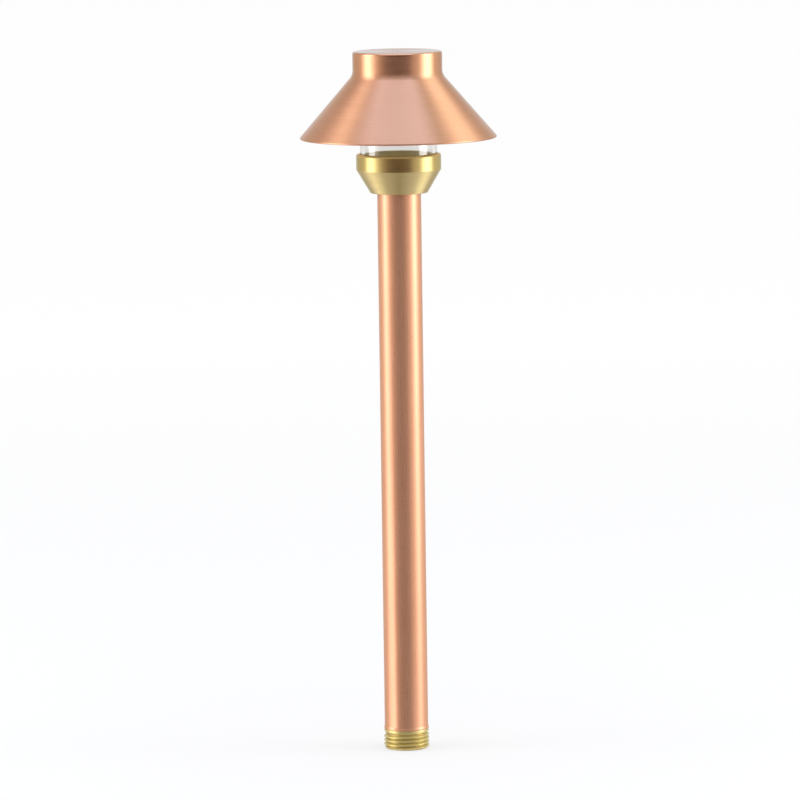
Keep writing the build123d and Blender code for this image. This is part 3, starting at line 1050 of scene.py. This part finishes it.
@dataclass(frozen=True)
class Softbox:
    """A soft lamp: a rectangle whose light fades towards its edges, unseen by the camera.

    fade is the share of the width and that of the height over which the light dies away. A lamp with
    a piece in only_on lights that piece alone, and one with a piece in under is shaded by it alone.
    """

    name: str
    centre: tuple[float, float, float]
    target: tuple[float, float, float]
    width: float
    height: float
    radiance: float
    colour: Colour = (1.0, 1.0, 1.0)
    fade: tuple[float, float] = (0.5, 0.5)
    only_on: str = ""
    under: str = ""

    def hang(self) -> bpy.types.Object:
        """Make the lamp and aim it.

        Returns:
            The lamp's object.
        """
        lamp = bpy.data.lights.new(self.name, "AREA")
        lamp.shape = "RECTANGLE"
        lamp.size, lamp.size_y = self.width, self.height
        lamp.color = self.colour
        lamp.energy = self.radiance * math.pi * self.width * self.height
        sheet = NodeSheet(lamp)
        sides = sheet.add("SeparateXYZ", {0: sheet.add("NewGeometry").outputs["Parametric"]})
        light = None
        for index, share in enumerate(self.fade):
            middle = sheet.math("ABSOLUTE", sheet.math("SUBTRACT", sides.outputs[index], 0.5))
            edge = sheet.span(middle, 0.5 - share, 0.5, 1.0, 0.0)
            light = edge if light is None else sheet.math("MULTIPLY", light, edge)
        glow = sheet.add("Emission", {"Strength": light})
        sheet.add("OutputLight", {"Surface": glow.outputs[0]})
        obj = bpy.data.objects.new(self.name, lamp)
        bpy.context.scene.collection.objects.link(obj)
        away = Vector(self.centre) - Vector(self.target)
        aim = away.to_track_quat("Z", "Y").to_matrix().to_4x4()
        obj.matrix_world = Matrix.Translation(self.centre) @ aim
        obj.visible_camera = False
        if self.only_on:
            obj.light_linking.receiver_collection = self.group("receivers", self.only_on)
            obj.visible_transmission = False
        if self.under:
            obj.light_linking.blocker_collection = self.group("blockers", self.under)
        return obj

    def group(self, role: str, piece: str) -> bpy.types.Collection:
        """Put one piece in a collection for this lamp.

        Args:
            role: What the collection is for.
            piece: Name of the piece.

        Returns:
            The collection.
        """
        collection = bpy.data.collections.new(f"{self.name}_{role}")
        collection.objects.link(bpy.data.objects[piece])
        return collection


@dataclass
class Studio:
    """Camera, floor, lamps and surroundings."""

    camera_place: tuple[float, float, float] = (-0.00092, -2.48, 0.48325)
    camera_pitch: float = 7.35
    camera_roll: float = 0.8
    camera_lens: float = 243.0
    camera_reach: tuple[float, float] = (0.05, 60.0)
    floor_size: float = 30.0
    paper_shade: float = 0.30
    paper_glow: tuple[float, float] = (0.62, 0.705)
    paper_glow_span: tuple[float, float] = (0.1, 1.6)
    bounce_shade: float = 0.7
    daylight: float = 0.95
    ceiling_from: tuple[float, float] = (0.3, 0.6)
    table_from: tuple[float, float] = (-0.25, -0.55)
    softboxes: list[Softbox] = field(
        default_factory=lambda: [
            Softbox("right_softbox", (0.895, -0.095, 0.45), (0.0, 0.0, 0.45), 0.92, 2.0, 3.0),
            Softbox("left_softbox", (-0.890, -0.128, 0.45), (0.0, 0.0, 0.45), 0.84, 2.3, 2.4),
            Softbox(
                "top_panel", (-0.045, -0.15, 1.32), (-0.045, -0.15, 0.0), 1.15, 0.9, 1.3,
                colour=(0.475, 0.61, 1.0), fade=(0.02, 0.1),
            ),
            Softbox(
                "glass_glint_left", (-0.899, -0.047, 0.45), (0.0, 0.0, 0.3), 0.46, 1.6, 10.0,
                fade=(0.15, 0.3), only_on="glass_jar",
            ),
            Softbox(
                "glass_glint_right", (0.883, -0.172, 0.45), (0.0, 0.0, 0.3), 0.54, 1.6, 10.0,
                fade=(0.15, 0.3), only_on="glass_jar",
            ),
            Softbox("low_left_softbox", (-0.80, -0.42, -0.17), (0.0, 0.0, -0.17), 0.50, 0.56, 1.6),
            Softbox(
                "cup_glow", (0.0, 0.0, 0.3), (0.0, 0.001, 0.25), 0.024, 0.024, 12.0,
                colour=(1.0, 0.93, 0.6), only_on="collar_ring", under="shade_shell",
            ),
        ]
    )

    # What the room looks like round the light, by degrees from the camera's side.
    walls: Stops = (
        (-180.0, (0.74, 0.80, 0.86)),
        (-145.0, (0.54, 0.50, 0.46)),
        (-122.0, (0.62, 0.54, 0.47)),
        (-100.0, (0.76, 0.66, 0.56)),
        (-58.0, (0.74, 0.62, 0.52)),
        (-42.0, (0.43, 0.32, 0.25)),
        (-30.0, (0.17, 0.12, 0.095)),
        (-16.0, (0.105, 0.057, 0.036)),
        (0.0, (0.07, 0.036, 0.021)),
        (16.0, (0.11, 0.06, 0.041)),
        (30.0, (0.165, 0.12, 0.095)),
        (40.0, (0.50, 0.40, 0.34)),
        (58.0, (0.80, 0.70, 0.62)),
        (100.0, (0.66, 0.58, 0.48)),
        (124.0, (0.70, 0.64, 0.56)),
        (145.0, (0.54, 0.50, 0.46)),
        (180.0, (0.74, 0.80, 0.86)),
    )
    ceiling: Stops = (
        (-180.0, (0.62, 0.68, 0.74)),
        (-142.0, (0.57, 0.50, 0.53)),
        (-128.0, (0.50, 0.43, 0.43)),
        (-114.0, (0.80, 0.68, 0.67)),
        (-96.0, (0.56, 0.48, 0.46)),
        (-80.0, (0.54, 0.48, 0.46)),
        (80.0, (0.50, 0.48, 0.49)),
        (96.0, (0.26, 0.22, 0.24)),
        (107.0, (0.42, 0.34, 0.33)),
        (122.0, (1.90, 2.10, 1.98)),
        (133.0, (0.92, 0.80, 0.76)),
        (143.0, (0.64, 0.53, 0.52)),
        (180.0, (0.62, 0.68, 0.74)),
    )
    table: Stops = (
        (-180.0, (0.46, 0.45, 0.58)),
        (-145.0, (0.50, 0.47, 0.58)),
        (-114.0, (1.24, 1.12, 1.36)),
        (-98.0, (0.90, 0.81, 0.92)),
        (-70.0, (0.58, 0.53, 0.62)),
        (0.0, (0.40, 0.36, 0.39)),
        (70.0, (0.60, 0.55, 0.68)),
        (94.0, (0.90, 0.84, 0.92)),
        (110.0, (1.28, 1.20, 1.44)),
        (142.0, (0.44, 0.40, 0.48)),
        (180.0, (0.46, 0.45, 0.58)),
    )

    def set_camera(self) -> None:
        """Make the camera and turn it as the photographer held it."""
        data = bpy.data.cameras.new("camera")
        data.lens = self.camera_lens
        data.clip_start, data.clip_end = self.camera_reach
        camera = bpy.data.objects.new("camera", data)
        bpy.context.scene.collection.objects.link(camera)
        tilt = Matrix.Rotation(math.radians(90.0 - self.camera_pitch), 4, "X")
        roll = Matrix.Rotation(math.radians(-self.camera_roll), 4, "Z")
        camera.matrix_world = Matrix.Translation(self.camera_place) @ tilt @ roll
        bpy.context.scene.camera = camera

    def lay_floor(self) -> None:
        """Make the white floor, which keeps a faint shadow and is clear from below."""
        bpy.ops.object.select_all(action="DESELECT")
        bpy.ops.mesh.primitive_plane_add(size=self.floor_size, location=(0, 0, 0))
        floor = bpy.context.object
        floor.name = "floor"
        material = bpy.data.materials.new("floor_paper")
        sheet = NodeSheet(material)
        paper = sheet.add("BsdfDiffuse", {"Color": (*grey(self.paper_shade), 1.0)})
        distance = sheet.vector("LENGTH", sheet.place()).outputs["Value"]
        glow = sheet.span(distance, *self.paper_glow_span, *self.paper_glow, "LINEAR")
        white = sheet.add("Emission", {"Color": (*grey(1.0), 1.0), "Strength": glow})
        seen = sheet.add("AddShader", {0: paper.outputs[0], 1: white.outputs[0]})
        lit = sheet.add("BsdfDiffuse", {"Color": (*grey(self.bounce_shade), 1.0)})
        rays = sheet.add("LightPath")
        shown = sheet.math("MAXIMUM", rays.outputs["Is Camera Ray"], rays.outputs["Is Transmission Ray"])
        top = sheet.add("MixShader", {0: shown, 1: lit.outputs[0], 2: seen.outputs[0]})
        clear = sheet.add("BsdfTransparent")
        below = sheet.add("NewGeometry").outputs["Backfacing"]
        sheet.surface(sheet.add("MixShader", {0: below, 1: top.outputs[0], 2: clear.outputs[0]}))
        floor.data.materials.append(material)
        floor.visible_glossy = False

    def paint_surroundings(self) -> None:
        """Surround the light with a pale room that is darker and warmer on the camera's side."""
        world = bpy.data.worlds.new("surroundings")
        bpy.context.scene.world = world
        sheet = NodeSheet(world)
        direction = sheet.add("TexCoord").outputs["Generated"]
        x, y, z = sheet.add("SeparateXYZ", {0: direction}).outputs
        azimuth = sheet.math("ARCTAN2", x, sheet.math("MULTIPLY", y, -1.0))
        share = sheet.math("ADD", sheet.math("DIVIDE", azimuth, math.tau), 0.5)
        walls, ceiling, table = [
            sheet.ramp(share, [(0.5 + angle / 360.0, colour) for angle, colour in stops])
            for stops in (self.walls, self.ceiling, self.table)
        ]
        room = sheet.blend(sheet.span(z, *self.ceiling_from), walls, ceiling)
        room = sheet.blend(sheet.span(z, *self.table_from), room, table)
        rays = sheet.add("LightPath")
        shown = sheet.math("MAXIMUM", rays.outputs["Is Camera Ray"], rays.outputs["Is Transmission Ray"])
        even = sheet.blend(rays.outputs["Is Diffuse Ray"], room, grey(self.daylight))
        colour = sheet.blend(shown, even, grey(1.0))
        background = sheet.add("Background", {"Color": colour, "Strength": 1.0})
        sheet.add("OutputWorld", {"Surface": background.outputs[0]})

    def set_up(self) -> None:
        """Set up camera, floor, lamps and surroundings."""
        self.set_camera()
        self.lay_floor()
        self.paint_surroundings()
        for softbox in self.softboxes:
            softbox.hang()
        bpy.context.scene.view_settings.view_transform = "Standard"
        log.info("studio: %d lamps", len(self.softboxes))


def main() -> None:
    """Build and dress every piece, then set up the studio."""
    logging.basicConfig(level=logging.INFO, format="%(message)s")
    for part in (Stem(), FootBushing(), Collar(), GlassJar(), Shade(), CarriedParts()):
        part.dress()
    Studio().set_up()


if __name__ == "__main__":
    main()
